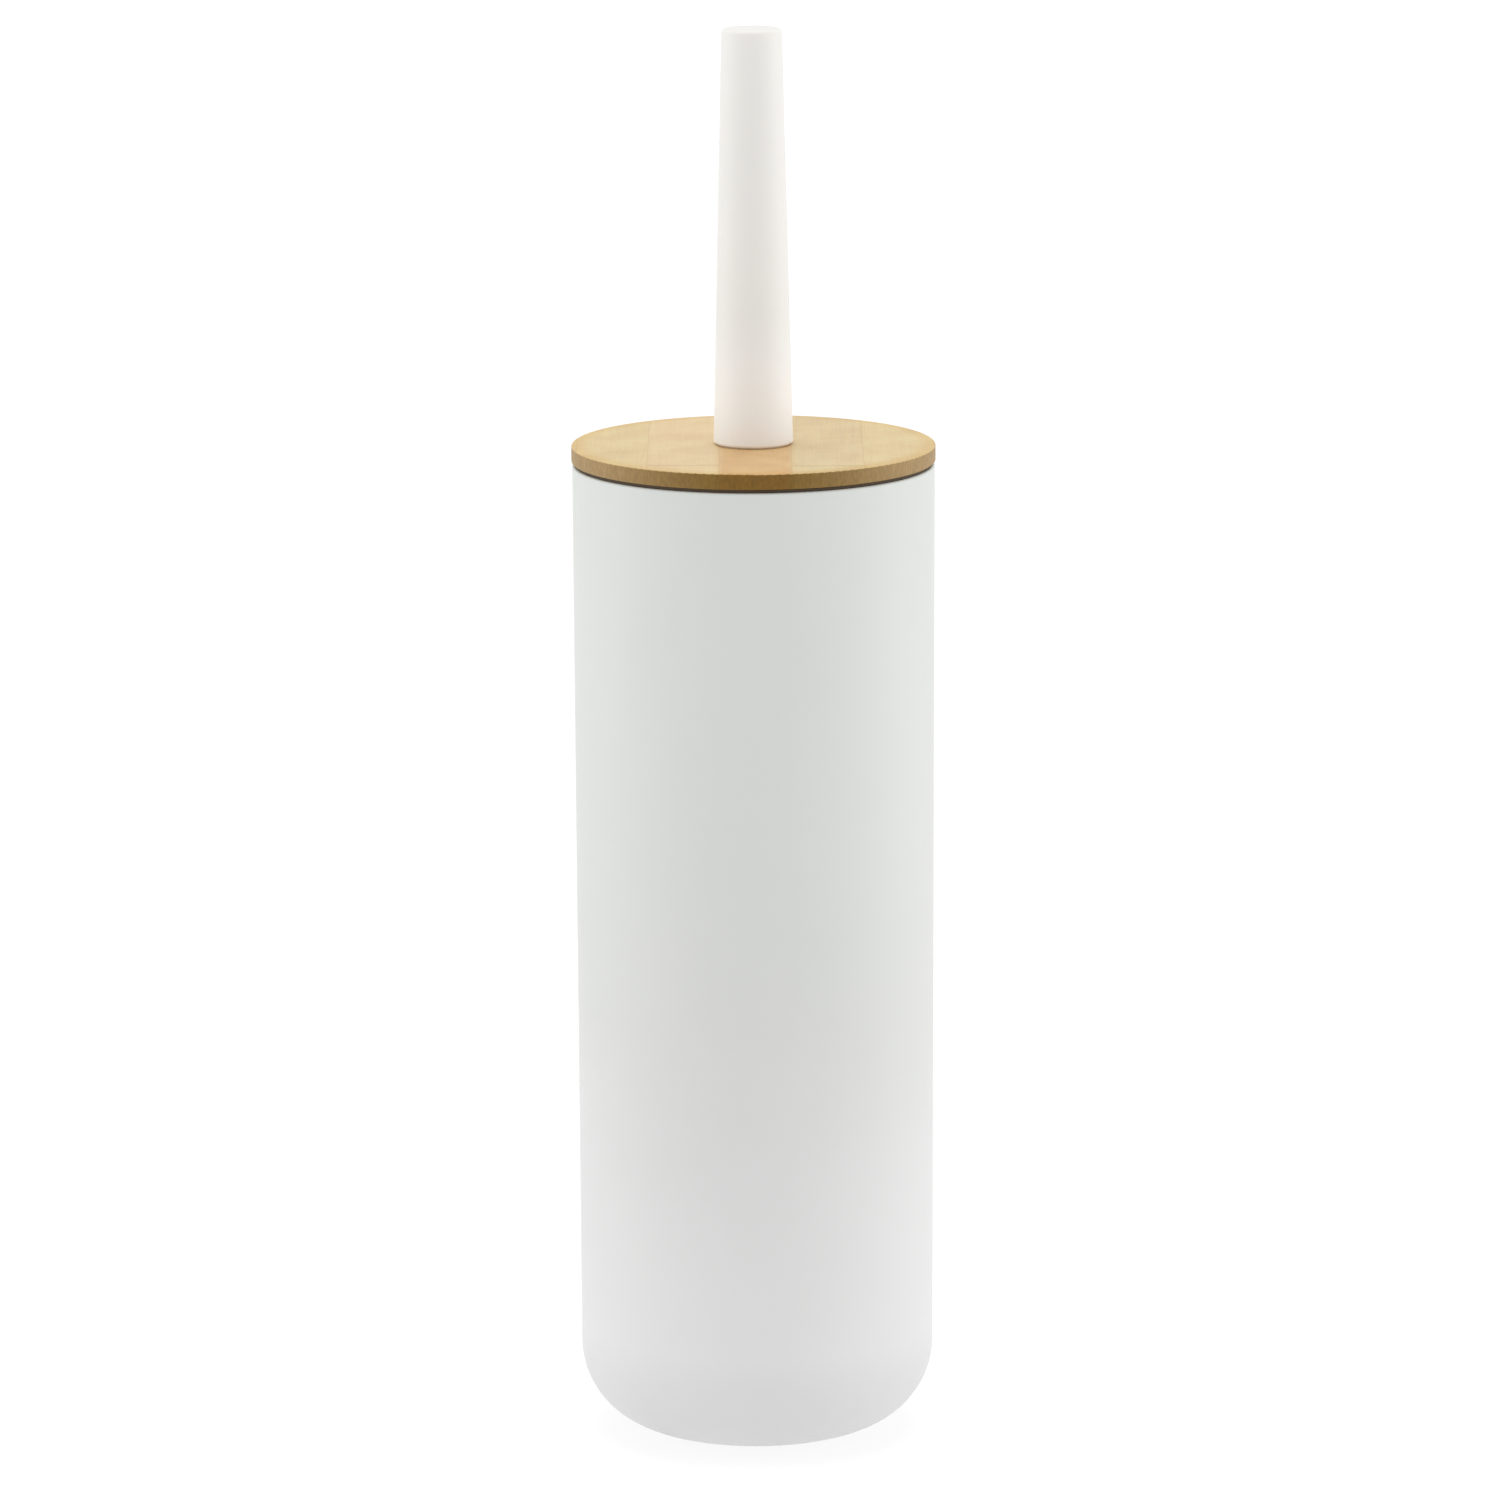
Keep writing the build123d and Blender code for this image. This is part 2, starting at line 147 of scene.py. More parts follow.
def moulded_polypropylene(name, tones, low_z, high_z, roughness, grain_depth, milkiness):
    """White polypropylene from a finely spark-eroded mould: a soft matt skin whose grain is felt more
    than seen, with slow clouds of tone and level where the melt shrank unevenly.  Tones gives its colour
    at shares of the height between low_z and high_z; on the cup and the handle this rise and fall of tone
    is painted light and shade from the floor and the lid.  Milkiness is how much of the light goes in and
    comes out again nearby."""
    cloud_tint, cloud_size = (0.94, 0.96, 0.94, 1.0), 45 * MM
    swell_size, swell_depth = 28 * MM, 0.35 * MM
    smear_size, duller, shinier = 9 * MM, 0.06, 0.05
    grain_size = 0.5 * MM             # really about 0.1 mm, drawn at the finest that shows
    light_depth = 1.5 * MM
    material, tree, shader = new_material(name)
    place = add_node(tree, "ShaderNodeTexCoord").outputs["Object"]
    apart = add_node(tree, "ShaderNodeSeparateXYZ", {"Vector": place})
    # tone by height: on the cup and the handle this is painted light and shade
    height = add_node(
        tree, "ShaderNodeMapRange", {"Value": apart.outputs["Z"], "From Min": low_z, "From Max": high_z},
    )
    tone = add_node(tree, "ShaderNodeValToRGB", {"Fac": height.outputs["Result"]}, stops=tones)
    cloud = add_node(tree, "ShaderNodeTexNoise", {"Vector": place, "Scale": 1 / cloud_size, "Detail": 2.0})
    base = add_node(
        tree, "ShaderNodeMix",
        {MIX_FACTOR: cloud.outputs["Fac"], MIX_A: tone.outputs["Color"], MIX_B: cloud_tint},
        data_type="RGBA", blend_type="MULTIPLY",
    )
    grain = add_node(tree, "ShaderNodeTexNoise", {"Vector": place, "Scale": 1 / grain_size, "Detail": 2.0})
    swell = add_node(tree, "ShaderNodeTexNoise", {"Vector": place, "Scale": 1 / swell_size, "Detail": 1.0})
    smear = add_node(tree, "ShaderNodeTexNoise", {"Vector": place, "Scale": 1 / smear_size, "Detail": 4.0})
    matt = add_node(
        tree, "ShaderNodeMapRange",
        {"Value": smear.outputs["Fac"], "From Min": 0.3, "From Max": 0.7,
         "To Min": roughness - shinier, "To Max": roughness + duller},
    )
    level = add_node(
        tree, "ShaderNodeBump", {"Height": swell.outputs["Fac"], "Strength": 0.25, "Distance": swell_depth},
    )
    skin = add_node(
        tree, "ShaderNodeBump",
        {"Height": grain.outputs["Fac"], "Strength": 0.5, "Distance": grain_depth,
         "Normal": level.outputs["Normal"]},
    )
    feed(tree, shader, {
        "Base Color": base.outputs[MIX_RESULT], "Roughness": matt.outputs["Result"],
        "Normal": skin.outputs["Normal"], "IOR": 1.49, "Specular IOR Level": 0.3,
        "Subsurface Weight": milkiness, "Subsurface Radius": (1.6, 1.4, 1.2), "Subsurface Scale": light_depth,
    })
    return material


def strip_stops(tones):
    """Ramp stops for the tones of the strips from left to right, each blended briefly into the next."""
    blend = 0.012
    stops = []
    for border in range(1, len(tones)):
        place = border / len(tones)
        stops += [(place - blend, tones[border - 1]), (place + blend, tones[border])]
    return stops


def laminated_bamboo(name, look):
    """Bamboo board glued from strips, sanded and oiled: each strip has its own tone, fine fibres run
    along it with short darker bundles, knuckles cross it, and the sawn rim is darker than the face."""
    first_strip, last_strip = -2.0, 3.0
    # width, length, jump from strip to strip, and detail of the noise
    fibres, bundles = (0.55 * MM, 32 * MM, 3.7, 3.0), (0.42 * MM, 5.5 * MM, 5.1, 1.0)
    cloud_size, relief_depth = 14 * MM, 0.05 * MM
    knuckle_core, knuckle_reach = 0.25 * MM, 1.0 * MM
    knuckle_sway, knuckle_wave = 2.4 * MM, 5 * MM
    # under_shade_shift: how much further in the rim's tone reaches below the lid's middle, a painted shade on
    # the lower edge
    glue_width, under_shade_shift = 0.12 * MM, 0.3 * MM
    rim_from, rim_to = 0.10 * MM, 0.02 * MM     # in from the rim
    oiled_from, oiled_to = 6 * MM, 1 * MM       # in from the rim
    # how strongly each of them shows, of 1
    fibre_share, cloud_share, dash_share, knuckle_share = 0.15, 0.22, 0.1, 0.24
    glue_share, rim_grain_share = 0.14, 0.35
    material, tree, shader = new_material(name)
    low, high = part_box("bamboo_lid")
    rim_radius, middle_z = high.x, (low.z + high.z) / 2
    place = add_node(tree, "ShaderNodeTexCoord").outputs["Object"]
    apart = add_node(tree, "ShaderNodeSeparateXYZ", {"Vector": place})
    across, along = apart.outputs["X"], apart.outputs["Y"]

    # which strip a point is in, and how far it is from that strip's edge
    strips = add_node(
        tree, "ShaderNodeMath", {0: across, 1: 1 / look.strip_width, 2: look.strip_shift},
        operation="MULTIPLY_ADD",
    )
    index = add_node(tree, "ShaderNodeMath", {0: strips.outputs[0]}, operation="FLOOR")
    within = add_node(tree, "ShaderNodeMath", {0: strips.outputs[0]}, operation="FRACT")
    rank = add_node(
        tree, "ShaderNodeMapRange",
        {"Value": strips.outputs[0], "From Min": first_strip, "From Max": last_strip},
    )
    # the middle strip's tone is partly its own and partly painted shade of the handle on the lid in front of
    # it
    tones = (look.outer_tone, look.left_tone, look.middle_tone, look.right_tone, look.outer_tone)
    tone = add_node(tree, "ShaderNodeValToRGB", {"Fac": rank.outputs["Result"]}, stops=strip_stops(tones))

    # fibres and bundles: noise drawn out along the strip, and shifted from strip to strip
    shifted = add_node(tree, "ShaderNodeCombineXYZ", {"X": across, "Y": along, "Z": index.outputs[0]})
    grains = []
    for width, length, jump, detail in (fibres, bundles):
        space = add_node(
            tree, "ShaderNodeMapping",
            {"Vector": shifted.outputs["Vector"], "Scale": (1 / width, 1 / length, jump)},
        )
        grains.append(add_node(
            tree, "ShaderNodeTexNoise", {"Vector": space.outputs["Vector"], "Scale": 1.0, "Detail": detail},
        ))
    fibre, bundle = grains
    dash = add_node(
        tree, "ShaderNodeMapRange", {"Value": bundle.outputs["Fac"], "From Min": 0.6, "From Max": 0.75},
    )
    cloud = add_node(
        tree, "ShaderNodeTexNoise",
        {"Vector": shifted.outputs["Vector"], "Scale": 1 / cloud_size, "Detail": 2.0},
    )

    # knuckles: one wavy dark line across some strips
    knuckle_shift = add_node(
        tree, "ShaderNodeTexWhiteNoise", {"W": index.outputs[0]}, noise_dimensions="1D",
    )
    wave_space = add_node(
        tree, "ShaderNodeMapping",
        {"Vector": shifted.outputs["Vector"], "Scale": (1 / knuckle_wave, 0.0, 1.0)},
    )
    waver = add_node(
        tree, "ShaderNodeTexNoise", {"Vector": wave_space.outputs["Vector"], "Scale": 1.0, "Detail": 1.0},
    )
    knuckle_line = add_node(
        tree, "ShaderNodeMath",
        {0: knuckle_shift.outputs["Value"], 1: 2.2 * rim_radius, 2: -1.1 * rim_radius},
        operation="MULTIPLY_ADD",
    )
    knuckle_wavy = add_node(
        tree, "ShaderNodeMath",
        {0: waver.outputs["Fac"], 1: knuckle_sway, 2: knuckle_line.outputs[0]}, operation="MULTIPLY_ADD",
    )
    knuckle_gap = add_node(
        tree, "ShaderNodeMath", {0: along, 1: knuckle_wavy.outputs[0]}, operation="SUBTRACT",
    )
    knuckle_away = add_node(tree, "ShaderNodeMath", {0: knuckle_gap.outputs[0]}, operation="ABSOLUTE")
    knuckle = add_node(
        tree, "ShaderNodeMapRange",
        {"Value": knuckle_away.outputs[0], "From Min": knuckle_core, "From Max": knuckle_reach,
         "To Min": knuckle_share, "To Max": 0.0},
        interpolation_type="SMOOTHSTEP",
    )

    # glue line between strips
    from_middle = add_node(tree, "ShaderNodeMath", {0: within.outputs[0], 1: 0.5}, operation="SUBTRACT")
    to_edge = add_node(tree, "ShaderNodeMath", {0: from_middle.outputs[0]}, operation="ABSOLUTE")
    half_line = glue_width / look.strip_width
    glue = add_node(
        tree, "ShaderNodeMapRange",
        {"Value": to_edge.outputs[0], "From Min": 0.5 - 2 * half_line, "From Max": 0.5 - half_line / 2,
         "To Max": glue_share},
    )

    # colour: strip tone, then fibres, dashes, knuckles and glue lines over it
    streaked = add_node(
        tree, "ShaderNodeMix",
        {MIX_FACTOR: fibre_share, MIX_A: tone.outputs["Color"], MIX_B: fibre.outputs["Fac"]},
        data_type="RGBA", blend_type="OVERLAY",
    )
    clouded = add_node(
        tree, "ShaderNodeMix",
        {MIX_FACTOR: cloud_share, MIX_A: streaked.outputs[MIX_RESULT], MIX_B: cloud.outputs["Fac"]},
        data_type="RGBA", blend_type="OVERLAY",
    )
    marks = add_node(
        tree, "ShaderNodeMath", {0: dash.outputs["Result"], 1: dash_share}, operation="MULTIPLY",
    )
    marks_and_knuckles = add_node(
        tree, "ShaderNodeMath", {0: marks.outputs[0], 1: knuckle.outputs["Result"]}, operation="MAXIMUM",
    )
    all_marks = add_node(
        tree, "ShaderNodeMath", {0: marks_and_knuckles.outputs[0], 1: glue.outputs["Result"]},
        operation="MAXIMUM",
    )
    marked = add_node(
        tree, "ShaderNodeMix",
        {MIX_FACTOR: all_marks.outputs[0], MIX_A: clouded.outputs[MIX_RESULT],
         MIX_B: opaque(look.fibre_tone)},
        data_type="RGBA",
    )

    # the sawn and sanded rim: darker at the front and back, partly end grain that drinks the oil and partly
    # painted shade where the rim faces away from the side soft boxes, and lighter on the left and right,
    # partly side grain and partly painted light from those soft boxes; below the lid's middle the rim's tone
    # reaches a little further in, a painted shade on the lower edge above the gap over the cup
    flat = add_node(tree, "ShaderNodeCombineXYZ", {"X": across, "Y": along})
    reach = add_node(tree, "ShaderNodeVectorMath", {0: flat.outputs["Vector"]}, operation="LENGTH")
    under = add_node(
        tree, "ShaderNodeMath", {0: apart.outputs["Z"], 1: middle_z}, operation="LESS_THAN",
    )
    pushed = add_node(
        tree, "ShaderNodeMath", {0: under.outputs[0], 1: under_shade_shift, 2: reach.outputs["Value"]},
        operation="MULTIPLY_ADD",
    )
    outside = add_node(
        tree, "ShaderNodeMapRange",
        {"Value": pushed.outputs[0], "From Min": rim_radius - rim_from, "From Max": rim_radius - rim_to},
        interpolation_type="SMOOTHSTEP",
    )
    pore_width, pore_height = 0.6 * MM, 1.6 * MM
    rim_space = add_node(
        tree, "ShaderNodeMapping",
        {"Vector": place, "Scale": (1 / pore_width, 1 / pore_width, 1 / pore_height)},
    )
    rim_grain = add_node(
        tree, "ShaderNodeTexNoise", {"Vector": rim_space.outputs["Vector"], "Scale": 1.0, "Detail": 3.0},
    )
    ends = (look.end_grain_and_shade_outer, look.end_grain_and_shade_outer, look.end_grain_and_shade_middle, look.end_grain_and_shade_outer, look.end_grain_and_shade_outer)
    end_grain_and_shade_tone = add_node(tree, "ShaderNodeValToRGB", {"Fac": rank.outputs["Result"]}, stops=strip_stops(ends))
    sideways = add_node(tree, "ShaderNodeMath", {0: across}, operation="ABSOLUTE")
    side_grain_and_light_share = add_node(
        tree, "ShaderNodeMapRange",
        {"Value": sideways.outputs[0], "From Min": 0.12 * rim_radius, "From Max": rim_radius},
        interpolation_type="SMOOTHSTEP",
    )
    rim_tone = add_node(
        tree, "ShaderNodeMix",
        {MIX_FACTOR: side_grain_and_light_share.outputs["Result"], MIX_A: end_grain_and_shade_tone.outputs["Color"],
         MIX_B: opaque(look.side_grain_and_light)},
        data_type="RGBA",
    )
    rim_colour = add_node(
        tree, "ShaderNodeMix",
        {MIX_FACTOR: rim_grain_share, MIX_A: rim_tone.outputs[MIX_RESULT], MIX_B: rim_grain.outputs["Fac"]},
        data_type="RGBA", blend_type="OVERLAY",
    )
    near_edge = add_node(
        tree, "ShaderNodeMapRange",
        {"Value": reach.outputs["Value"], "From Min": rim_radius - oiled_from,
         "From Max": rim_radius - oiled_to},
        interpolation_type="SMOOTHSTEP",
    )
    face = add_node(
        tree, "ShaderNodeMix",
        {MIX_FACTOR: near_edge.outputs["Result"], MIX_A: marked.outputs[MIX_RESULT],
         MIX_B: opaque(look.edge_tint)},
        data_type="RGBA", blend_type="MULTIPLY",
    )
    colour = add_node(
        tree, "ShaderNodeMix",
        {MIX_FACTOR: outside.outputs["Result"], MIX_A: face.outputs[MIX_RESULT],
         MIX_B: rim_colour.outputs[MIX_RESULT]},
        data_type="RGBA",
    )

    # relief and sheen: open fibres are a little lower and duller
    relief = add_node(
        tree, "ShaderNodeMath", {0: all_marks.outputs[0], 1: -1.5, 2: fibre.outputs["Fac"]},
        operation="MULTIPLY_ADD",
    )
    bump = add_node(
        tree, "ShaderNodeBump", {"Height": relief.outputs[0], "Strength": 0.55, "Distance": relief_depth},
    )
    rough = add_node(
        tree, "ShaderNodeMapRange",
        {"Value": fibre.outputs["Fac"], "From Min": 0.3, "From Max": 0.7, "To Min": 0.5, "To Max": 0.64},
    )
    feed(tree, shader, {
        "Base Color": colour.outputs[MIX_RESULT], "Roughness": rough.outputs["Result"],
        "Normal": bump.outputs["Normal"], "IOR": 1.45, "Specular IOR Level": 0.3,
    })
    return material


def soft_rubber(name, colour):
    """Soft elastomer, moulded or punched: dull, with a fine leathery skin that holds dust in its hollows."""
    pore_size, pore_depth, dust_size = 0.45 * MM, 0.04 * MM, 3 * MM
    dusty = [part + 0.02 for part in colour]
    material, tree, shader = new_material(name)
    place = add_node(tree, "ShaderNodeTexCoord").outputs["Object"]
    pores = add_node(tree, "ShaderNodeTexVoronoi", {"Vector": place, "Scale": 1 / pore_size})
    dust = add_node(tree, "ShaderNodeTexNoise", {"Vector": place, "Scale": 1 / dust_size, "Detail": 4.0})
    base = add_node(
        tree, "ShaderNodeMix",
        {MIX_FACTOR: dust.outputs["Fac"], MIX_A: opaque(colour), MIX_B: opaque(dusty)},
        data_type="RGBA",
    )
    dull = add_node(
        tree, "ShaderNodeMapRange", {"Value": dust.outputs["Fac"], "To Min": 0.62, "To Max": 0.85},
    )
    skin = add_node(
        tree, "ShaderNodeBump",
        {"Height": pores.outputs["Distance"], "Strength": 0.4, "Distance": pore_depth},
    )
    feed(tree, shader, {
        "Base Color": base.outputs[MIX_RESULT], "Roughness": dull.outputs["Result"],
        "Normal": skin.outputs["Normal"],
    })
    return material


def turned_metal(name, colour, roughness, ring_spacing):
    """Metal turned on a lathe or rolled: fine rings round the axis that break the gleam into bands."""
    streak_length, ring_depth = 20 * MM, 0.02 * MM
    darker = [0.8 * part for part in colour]
    material, tree, shader = new_material(name)
    place = add_node(tree, "ShaderNodeTexCoord").outputs["Object"]
    squeezed = add_node(
        tree, "ShaderNodeMapping",
        {"Vector": place, "Scale": (1 / streak_length, 1 / streak_length, 1 / ring_spacing)},
    )
    rings = add_node(
        tree, "ShaderNodeTexNoise", {"Vector": squeezed.outputs["Vector"], "Scale": 1.0, "Detail": 2.0},
    )
    base = add_node(
        tree, "ShaderNodeMix",
        {MIX_FACTOR: rings.outputs["Fac"], MIX_A: opaque(colour), MIX_B: opaque(darker)},
        data_type="RGBA",
    )
    gloss = add_node(
        tree, "ShaderNodeMapRange",
        {"Value": rings.outputs["Fac"], "To Min": roughness - 0.08, "To Max": roughness + 0.12},
    )
    skin = add_node(
        tree, "ShaderNodeBump", {"Height": rings.outputs["Fac"], "Strength": 0.5, "Distance": ring_depth},
    )
    feed(tree, shader, {
        "Base Color": base.outputs[MIX_RESULT], "Roughness": gloss.outputs["Result"],
        "Normal": skin.outputs["Normal"], "Metallic": 1.0,
    })
    return material


def drawn_filament(name, colour, tip_colour):
    """Drawn polyester filament: smooth, a little see-through, each strand its own shade of white and
    slightly duller where its cut end is frayed.  The strands carry the attributes shade and reach."""
    darkest = [0.87 * part for part in colour]
    material, tree, shader = new_material(name)
    shade = add_node(tree, "ShaderNodeAttribute", attribute_name="shade")
    reach = add_node(tree, "ShaderNodeAttribute", attribute_name="reach")
    end = add_node(
        tree, "ShaderNodeMapRange", {"Value": reach.outputs["Fac"], "From Min": 0.75, "From Max": 1.0},
    )
    strand = add_node(
        tree, "ShaderNodeMix",
        {MIX_FACTOR: shade.outputs["Fac"], MIX_A: opaque(colour), MIX_B: opaque(darkest)},
        data_type="RGBA",
    )
    base = add_node(
        tree, "ShaderNodeMix",
        {MIX_FACTOR: end.outputs["Result"], MIX_A: strand.outputs[MIX_RESULT], MIX_B: opaque(tip_colour)},
        data_type="RGBA",
    )
    gloss = add_node(
        tree, "ShaderNodeMapRange", {"Value": end.outputs["Result"], "To Min": 0.28, "To Max": 0.5},
    )
    feed(tree, shader, {
        "Base Color": base.outputs[MIX_RESULT], "Roughness": gloss.outputs["Result"], "IOR": 1.54,
        "Subsurface Weight": 0.2, "Subsurface Radius": (1.0, 1.0, 1.0), "Subsurface Scale": 0.6 * MM,
    })
    return material


# ---- sizes and colours that a user would change ----------


def colour_property(name, description, code):
    """A colour that the sidebar shows, starting from an sRGB hex value."""
    return bpy.props.FloatVectorProperty(
        name=name, description=description, subtype="COLOR", size=3, min=0.0, max=1.0, default=linear(code),
    )


def length_property(name, description, value):
    """A length in metres that the sidebar shows in the scene's units."""
    return bpy.props.FloatProperty(
        name=name, description=description, unit="LENGTH", min=0.0, precision=5, default=value,
    )


def angle_property(name, description, value):
    """An angle in radians that the sidebar shows in degrees."""
    return bpy.props.FloatProperty(name=name, description=description, subtype="ANGLE", default=value)


def light_property(name, description, value):
    """How strong a light is."""
    return bpy.props.FloatProperty(name=name, description=description, min=0.0, default=value)


class HolderLook(bpy.types.PropertyGroup):
    # the cup's tones are painted light and shade: darker on the bottom round, palest just above it where the
    # lit floor brightens the cup, and a little darker towards the rim
    rim_tone: colour_property("Cup rim", "Tone of the cup at its rim", "#DADCD9")
    cup_tone: colour_property("Cup", "Tone of the cup half way up", "#DBDBDA")
    low_tone: colour_property("Cup, low", "Palest tone, just above the bottom round", "#E3E2E3")
    foot_tone: colour_property("Cup foot", "Tone of the bottom round", "#DBD9DB")
    pad_colour: colour_property("Pads", "Foot pads under the cup", "#3A3937")
    recess_depth: length_property("Recess depth", "Depth of the round recess under the cup", 0.7 * MM)
    gate_radius: length_property("Gate mark", "Radius of the moulding mark under the cup", 1.6 * MM)


class LidLook(bpy.types.PropertyGroup):
    strip_width: length_property("Strip width", "Width of one bamboo strip in the board", 19.6 * MM)
    strip_shift: bpy.props.FloatProperty(
        name="Strip shift", description="Where the strips' edges fall, in strips", default=0.4745,
    )
    edge_tint: colour_property("Face edge", "Tint of the face where the rim drinks more oil", "#FBF3E2")
    left_tone: colour_property("Left strip", "Tone of the strip left of the handle", "#DCC49A")
    # the middle strip's darker, redder tone is partly the strip's own and partly painted shade of the handle
    # on the lid in front of it
    middle_tone: colour_property("Middle strip", "Tone of the strip under the handle", "#D4B07E")
    right_tone: colour_property("Right strip", "Tone of the strip right of the handle", "#D4BE94")
    outer_tone: colour_property("Outer strips", "Tone of the outermost strips", "#D8C295")
    fibre_tone: colour_property("Fibres", "Dark fibre bundles, knuckles and glue lines", "#8A6334")
    # rim tones: darker at front and back, partly end grain and partly painted shade; lighter at the sides,
    # partly side grain and partly painted light from the side soft boxes
    end_grain_and_shade_middle: colour_property("End grain, middle", "Rim tone at the end of the middle strip", "#7A591F")
    end_grain_and_shade_outer: colour_property("End grain, outer", "Rim tone at the ends of the other strips", "#7D5F26")
    side_grain_and_light: colour_property("Side grain", "Rim tone on the left and right", "#A3875A")
    # the ring's dark warm brown is painted shadow, tinted by the bamboo above it, in the gap under the lid
    ring_shadow_colour: colour_property("Soft ring", "Ring between the lid and the cup", "#3B2B14")


class HandleLook(bpy.types.PropertyGroup):
    # the handle's paler foot is painted light, lifting the shade that the lid casts on it
    foot_tone: colour_property("Handle foot", "Palest tone of the handle, at its foot", "#FDFBFC")
    middle_tone: colour_property("Handle", "Tone of the handle half way up", "#ECE9E6")
    top_tone: colour_property("Handle top", "Tone of the handle at its top", "#EFECE9")
    washer_colour: colour_property("Washer", "Thin milky washer between handle and lid", "#D8CDB8")
    brass: colour_property("Insert", "Turned brass insert inside the handle", "#C9A961")
    steel: colour_property("Stud", "Zinc-plated stud through the lid", "#B9BCC0")


class StemLook(bpy.types.PropertyGroup):
    top_tone: colour_property("Stem", "Tone of the stem at its top", "#ECEAE8")
    low_tone: colour_property("Stem, low", "Tone of the stem's lower end and of the head's core", "#E7E5E3")
    washer_colour: colour_property("Washer", "Washer between stem and head", "#35332F")
    plug_radius: length_property("Plug radius", "Radius of the end plug inside the tube", 4.85 * MM)
    thread_radius: length_property("Thread radius", "Crest radius of the hand thread", 4.6 * MM)
    thread_pitch: length_property("Thread pitch", "Rise of the hand thread in one turn", 2.5 * MM)
    thread_depth: length_property("Thread depth", "Height of the thread above its root", 0.7 * MM)
    thread_gap: length_property("Thread play", "Room between the two threads", 0.25 * MM)


class BristleLook(bpy.types.PropertyGroup):
    colour: colour_property("Bristles", "Tone of the filaments", "#F9F8F6")
    tip_colour: colour_property("Tips", "Tone of the frayed filament ends", "#F1EFEB")
    wire: colour_property("Anchor wire", "Flat wire that holds each tuft in its hole", "#B4B7BA")
    row_tufts: bpy.props.IntProperty(name="Tufts", description="Tufts in a level row", min=1, default=16)
    crown_tufts: bpy.props.IntVectorProperty(
        name="Crown tufts", description="Tufts in each row round the end, from the top", size=3, min=1,
        default=(14, 11, 6),
    )
    crown_slope: angle_property("Crown slope", "How much further each row round the end dips", radians(22.5))
    start_radius: length_property("Tuft start", "Where a tuft begins, from the core's axis", 11.5 * MM)
    root_radius: length_property("Tuft root", "Radius of a tuft in its hole", 1.6 * MM)
    tip_height: length_property("Tip height", "Half the height of a tuft at its tip", 3.6 * MM)
    tip_width: length_property("Tip width", "Half the width of a tuft at its tip", 5.6 * MM)
    crown_tip: length_property("Crown tip", "Half the width of a crown tuft at its tip", 5.8 * MM)
    strands: bpy.props.IntProperty(
        name="Strands", description="Filaments in one tuft", min=6, max=80, default=44,
    )
    strand_radius: length_property("Strand radius", "Radius of one filament", 0.21 * MM)
    crimp_height: length_property("Crimp height", "Half the width of a filament's waves", 0.22 * MM)
    crimp_length: length_property("Crimp length", "Length of one wave along a filament", 7 * MM)
    ragged: length_property("Ragged tips", "How far filaments may end short of the longest", 1.4 * MM)


class StageLook(bpy.types.PropertyGroup):
    camera_distance: length_property("Camera distance", "From the object's axis to the camera", 2.1776)
    camera_height: length_property("Camera height", "Above the floor", 0.6352)
    pitch: angle_property("Pitch", "How far the camera looks down", 0.20066)
    yaw: angle_property("Yaw", "How far the camera looks to the right", -0.0006)
    roll: angle_property("Roll", "How far the camera leans", -0.0045)
    lens: bpy.props.FloatProperty(
        name="Lens", description="Focal length in millimetres on a 36 mm sensor", default=192.8,
    )
    floor_colour: colour_property("Floor", "Tone of the opal floor", "#7C7C7C")
    floor_glow: light_property("Floor glow", "Light that comes up through the opal floor", 0.79)
    room_light: light_property("Room light", "Even light from all round", 0.76)
    top_light: light_property("Top light", "Strength of the broad light from above", 1.15)
    left_light: light_property("Left light", "Power of the soft box on the left, in watts", 2.2)
    right_light: light_property("Right light", "Power of the soft box on the right, in watts", 2.7)


# ---- round shapes ----------------------------------------


def round_grid(radii, heights):
    """Points of a surface round the axis: radii has one row for each height and one column for each of
    the equal turns."""
    turn = np.linspace(0, 2 * pi, radii.shape[1], endpoint=False)
    return np.stack([radii * np.cos(turn), radii * np.sin(turn), heights[:, None] + 0 * turn], axis=-1)


def grid_faces(rows, turns):
    """Corner lists between neighbouring rows of a round grid, facing outwards when the rows run upwards."""
    row, step = np.meshgrid(np.arange(rows - 1), np.arange(turns), indexing="ij")
    here, ahead = row * turns + step, row * turns + (step + 1) % turns
    return np.stack([here, ahead, ahead + turns, here + turns], axis=-1).reshape(-1, 4).tolist()


def close_ends(points, faces, rows, turns):
    """Closes a round grid whose rows run upwards with a fan of triangles at its lowest and highest row,
    round a new point in the middle of each."""
    grid = points.reshape(-1, 3)
    middles = [points[row].mean(axis=0) for row in (0, rows - 1)]
    step = np.arange(turns)
    ahead = (step + 1) % turns
    lowest = np.stack([ahead, step, np.full(turns, len(grid))], axis=-1)
    last = (rows - 1) * turns
    highest = np.stack([last + step, last + ahead, np.full(turns, len(grid) + 1)], axis=-1)
    return np.concatenate([grid, middles]), faces + lowest.tolist() + highest.tolist()


def profile_rows(corners, step):
    """Rows along a profile of radius and height, no further apart than step, with every corner kept."""
    corners = np.array(corners)
    spans = np.hypot(*np.diff(corners, axis=0).T)
    counts = np.maximum(1, np.ceil(spans / step)).astype(int)
    runs = [
        np.linspace(start, end, count, endpoint=False)
        for start, end, count in zip(corners[:-1], corners[1:], counts)
    ]
    return np.concatenate(runs + [corners[-1:]])


